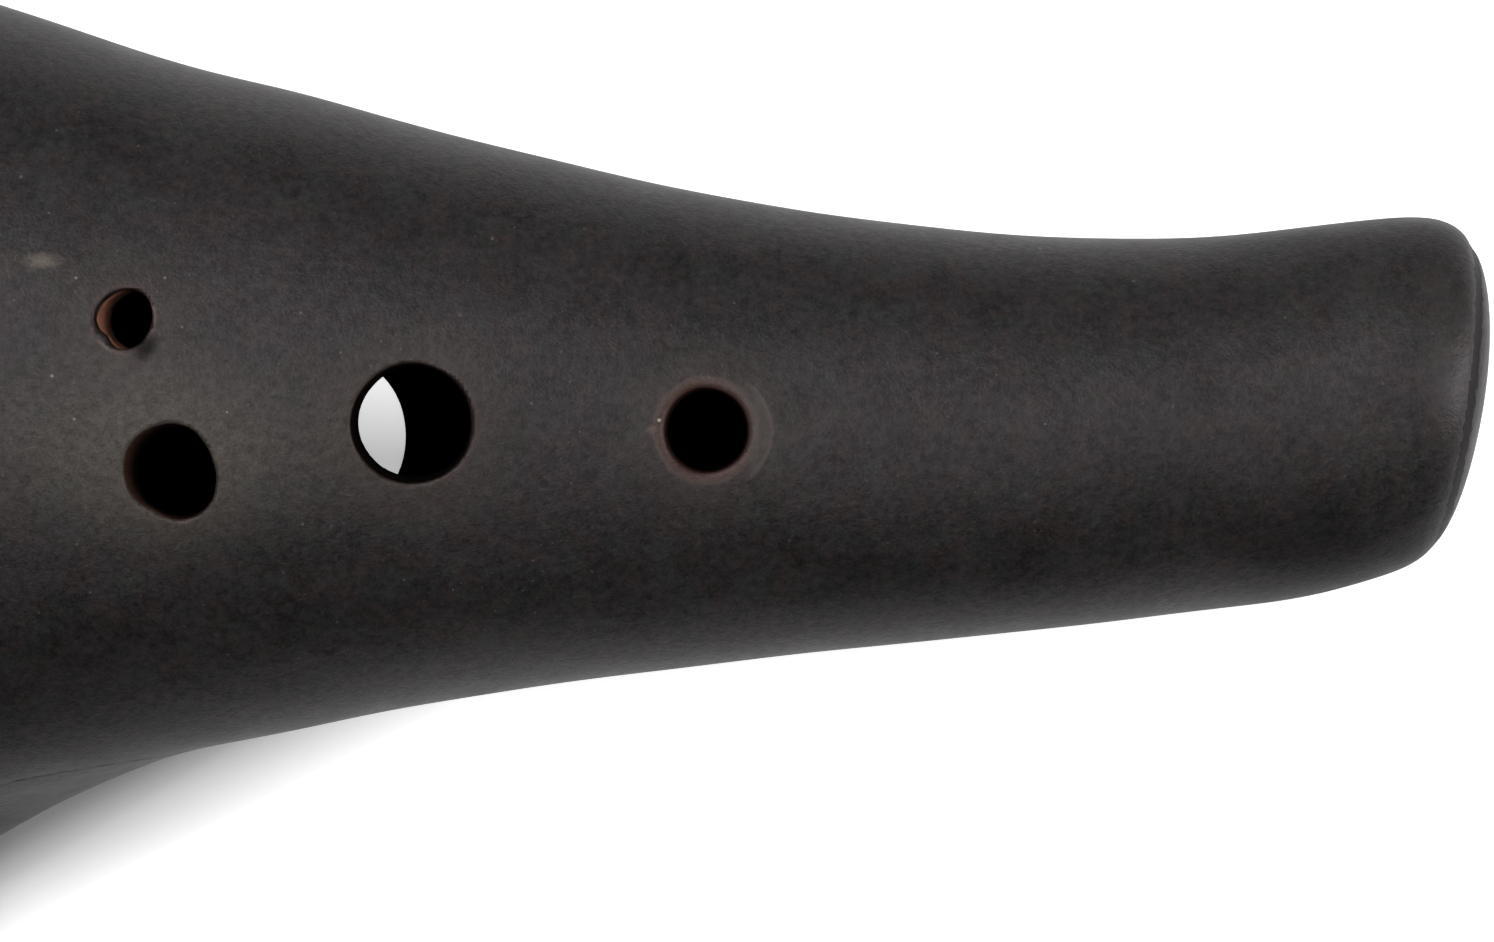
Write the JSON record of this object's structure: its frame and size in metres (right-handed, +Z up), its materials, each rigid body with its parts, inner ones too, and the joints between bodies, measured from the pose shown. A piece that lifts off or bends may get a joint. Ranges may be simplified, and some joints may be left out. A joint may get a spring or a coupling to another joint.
{
  "type": "transverse ocarina",
  "caption": "Hollow smoke-black clay wind instrument with a tapering rounded chamber, finger and thumb holes, a side mouthpiece with a flat windway and a plugged tail.",
  "frame": {"origin": "middle of the small flat ground on the belly that the ocarina rests on", "axes": "+X along the body toward the tail, +Y away from the player (the mouthpiece points to -Y), +Z up out of the face with the finger holes"},
  "size_m": [0.2165, 0.1148, 0.047],
  "materials": {
    "clay_black": "matte, smoke-blackened and burnished",
    "clay_black_belly": "matte, smoke-blackened and burnished",
    "slip": "matte fired slip, a shade browner than the body"
  },
  "bodies": {
    "root": {"upper_shell": "clay_black", "lower_shell": "clay_black_belly", "body_seam": "slip", "tail_plug": "clay_black", "tail_seam": "slip", "mouthpiece_floor": "clay_black_belly", "mouthpiece_roof": "clay_black", "windway_seam": "slip", "labium": "clay_black_belly", "root_fairing": "clay_black"}
  },
  "joints": []
}
